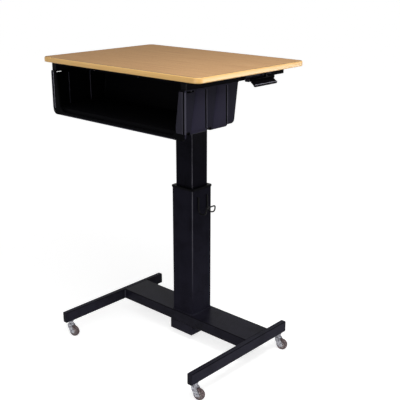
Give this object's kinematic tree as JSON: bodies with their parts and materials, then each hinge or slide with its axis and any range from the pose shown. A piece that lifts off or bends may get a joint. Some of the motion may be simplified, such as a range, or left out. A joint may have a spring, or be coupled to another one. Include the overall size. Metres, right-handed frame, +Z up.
{
  "type": "sit-stand school desk",
  "caption": "Height-adjustable school desk: laminated top and open book box on a square telescopic column, H base on swivel casters, release paddle under the right edge.",
  "frame": {"origin": "on the floor, under the middle of the desktop", "axes": "+X to the seated user's right, +Y from the user to the back, +Z up"},
  "size_m": [0.711, 0.508, 1.035],
  "materials": {
    "powder_coat_black": "satin black powder coat",
    "box_plastic": "moulded black plastic, fine grain",
    "cap_plastic": "moulded black plastic",
    "laminate": "matt wood-look laminate",
    "edge_band": "satin moulded edge",
    "board": "particle board",
    "hook_coat": "black coated wire",
    "zinc": "bright zinc plate",
    "chrome_rod": "ground and chromed",
    "wheel_rubber": "grey-brown soft tread"
  },
  "bodies": {
    "base": {"left_foot": "powder_coat_black", "right_foot": "powder_coat_black", "foot_end_caps": "cap_plastic", "crossbar": "powder_coat_black", "frame_welds": "powder_coat_black", "column_weld": "powder_coat_black", "column_socket": "powder_coat_black", "outer_column": "powder_coat_black", "column_collar": "cap_plastic", "bag_hook": "hook_coat", "gas_spring_seat": "zinc", "gas_cylinder": "powder_coat_black", "rod_guide": "cap_plastic", "caster_stems": "zinc", "caster_inserts": "zinc"},
    "top": {"inner_column": "powder_coat_black", "glide_shoe": "cap_plastic", "gas_rod": "chrome_rod", "gas_piston": "zinc", "rod_bridge": "powder_coat_black", "rod_nuts": "zinc", "left_side_rail": "powder_coat_black", "right_side_rail": "powder_coat_black", "rail_end_caps": "cap_plastic", "front_cross_rail": "powder_coat_black", "rear_cross_rail": "powder_coat_black", "front_flat_bar": "powder_coat_black", "rear_flat_bar": "powder_coat_black", "head_plate": "powder_coat_black", "head_bolts": "zinc", "head_weld_nuts": "zinc", "desktop_screws": "zinc", "box_screws": "zinc", "desktop_core": "board", "top_laminate": "laminate", "backing_sheet": "board", "edge_band": "edge_band", "book_box": "box_plastic", "rocker_ears": "powder_coat_black", "rocker_pin": "zinc", "paddle_bracket": "powder_coat_black", "paddle_pin": "zinc"},
    "release_paddle": {"paddle": "cap_plastic"},
    "push_rod": {"push_rod": "zinc"},
    "rocker": {"rocker": "zinc"},
    "release_pin": {"release_pin": "zinc"},
    "left_front_fork": {"left_front_caster_fork": "zinc", "left_front_caster_axle": "zinc"},
    "left_front_wheel": {"left_front_caster_wheel": "wheel_rubber"},
    "left_rear_fork": {"left_rear_caster_fork": "zinc", "left_rear_caster_axle": "zinc"},
    "left_rear_wheel": {"left_rear_caster_wheel": "wheel_rubber"},
    "right_front_fork": {"right_front_caster_fork": "zinc", "right_front_caster_axle": "zinc"},
    "right_front_wheel": {"right_front_caster_wheel": "wheel_rubber"},
    "right_rear_fork": {"right_rear_caster_fork": "zinc", "right_rear_caster_axle": "zinc"},
    "right_rear_wheel": {"right_rear_caster_wheel": "wheel_rubber"}
  },
  "joints": [
    {"name": "column_lift", "type": "slide", "parent": "base", "child": "top", "axis": [0, 0, 1], "range_m": [-0.4, 0]},
    {"name": "paddle_tilt", "type": "hinge", "parent": "top", "child": "release_paddle", "pos_m": [0.3175, 0.0735, 0.995], "axis": [0, -1, 0], "range_deg": [0, 11]},
    {"name": "push_rod_slide", "type": "slide", "parent": "top", "child": "push_rod", "axis": [-1, 0, 0], "range_m": [0, 0.0028], "stiffness_N_per_m": 5800, "springref_m": -0.0016},
    {"name": "rocker_turn", "type": "hinge", "parent": "top", "child": "rocker", "pos_m": [0.018, 0.098, 0.9985], "axis": [0, -1, 0], "range_deg": [0, 14]},
    {"name": "release_pin_press", "type": "slide", "parent": "top", "child": "release_pin", "axis": [0, 0, -1], "range_m": [0, 0.0045]},
    {"name": "left_front_swivel", "type": "hinge", "parent": "base", "child": "left_front_fork", "pos_m": [-0.317, -0.226, 0.046], "axis": [0, 0, 1], "continuous": true},
    {"name": "left_front_roll", "type": "hinge", "parent": "left_front_fork", "child": "left_front_wheel", "pos_m": [-0.30331, -0.22309, 0.02], "axis": [-0.2079, 0.9781, 0], "continuous": true},
    {"name": "left_rear_swivel", "type": "hinge", "parent": "base", "child": "left_rear_fork", "pos_m": [-0.317, 0.216, 0.046], "axis": [0, 0, 1], "continuous": true},
    {"name": "left_rear_roll", "type": "hinge", "parent": "left_rear_fork", "child": "left_rear_wheel", "pos_m": [-0.30331, 0.21891, 0.02], "axis": [-0.2079, 0.9781, 0], "continuous": true},
    {"name": "right_front_swivel", "type": "hinge", "parent": "base", "child": "right_front_fork", "pos_m": [0.317, -0.226, 0.046], "axis": [0, 0, 1], "continuous": true},
    {"name": "right_front_roll", "type": "hinge", "parent": "right_front_fork", "child": "right_front_wheel", "pos_m": [0.33069, -0.22309, 0.02], "axis": [-0.2079, 0.9781, 0], "continuous": true},
    {"name": "right_rear_swivel", "type": "hinge", "parent": "base", "child": "right_rear_fork", "pos_m": [0.317, 0.216, 0.046], "axis": [0, 0, 1], "continuous": true},
    {"name": "right_rear_roll", "type": "hinge", "parent": "right_rear_fork", "child": "right_rear_wheel", "pos_m": [0.33069, 0.21891, 0.02], "axis": [-0.2079, 0.9781, 0], "continuous": true}
  ],
  "couplings": [
    {"joint": "paddle_tilt", "follows": "push_rod_slide", "rad_per_m": 62.5},
    {"joint": "rocker_turn", "follows": "push_rod_slide", "rad_per_m": 80},
    {"joint": "release_pin_press", "follows": "push_rod_slide", "ratio": 1.44}
  ]
}
